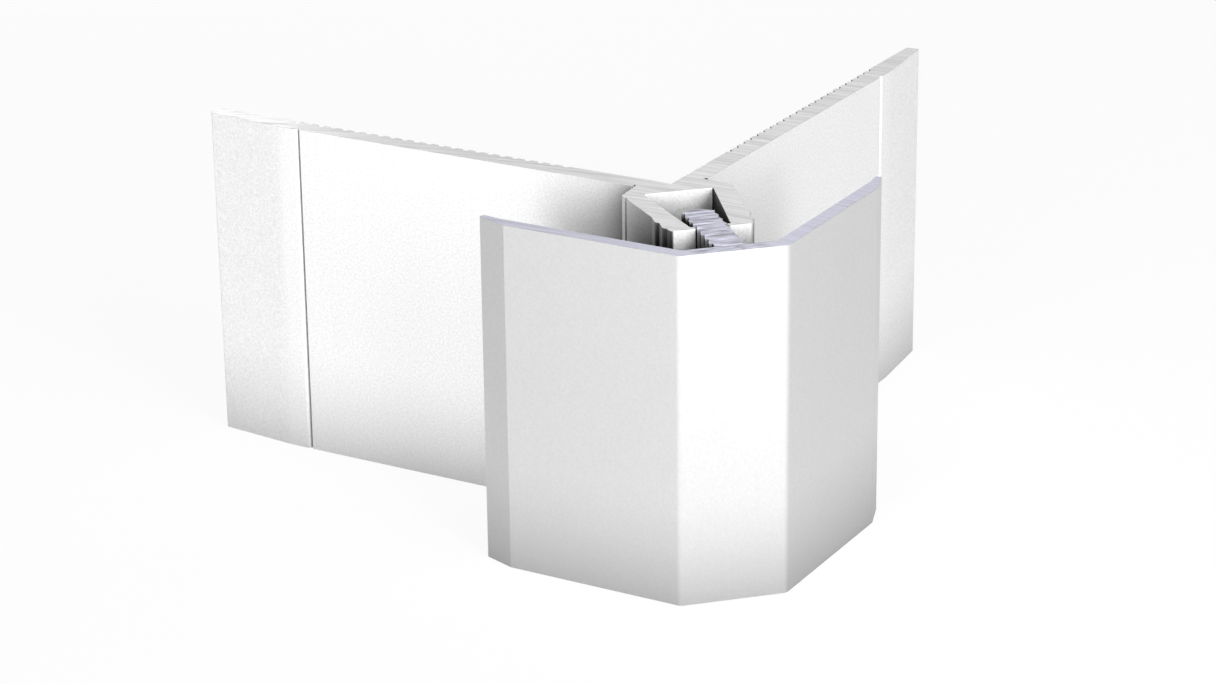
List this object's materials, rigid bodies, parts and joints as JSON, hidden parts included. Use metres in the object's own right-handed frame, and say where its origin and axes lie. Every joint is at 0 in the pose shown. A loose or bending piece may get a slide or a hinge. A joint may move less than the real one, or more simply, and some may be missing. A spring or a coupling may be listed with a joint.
{
  "type": "corner guard moulding",
  "caption": "Two-piece extruded moulding for an outside wall corner: a ribbed L-shaped base with a clamp, and a bevelled cover whose toothed tongue it grips.",
  "frame": {"origin": "inside corner where the two wall faces of the base meet, at the lower saw cut", "axes": "+Z along the extrusion; the left wing runs along -X with its back on y = 0, the right wing along +Y with its back on x = 0, and the cover stands towards +X and -Y"},
  "size_m": [0.0673, 0.0673, 0.0329],
  "materials": {
    "anodised_base": "satin natural anodised, saw-cut ends",
    "anodised_cover": "fine matte natural anodised, saw-cut ends"
  },
  "bodies": {
    "root": {"base_profile": "anodised_base", "cover_profile": "anodised_cover"}
  },
  "joints": []
}
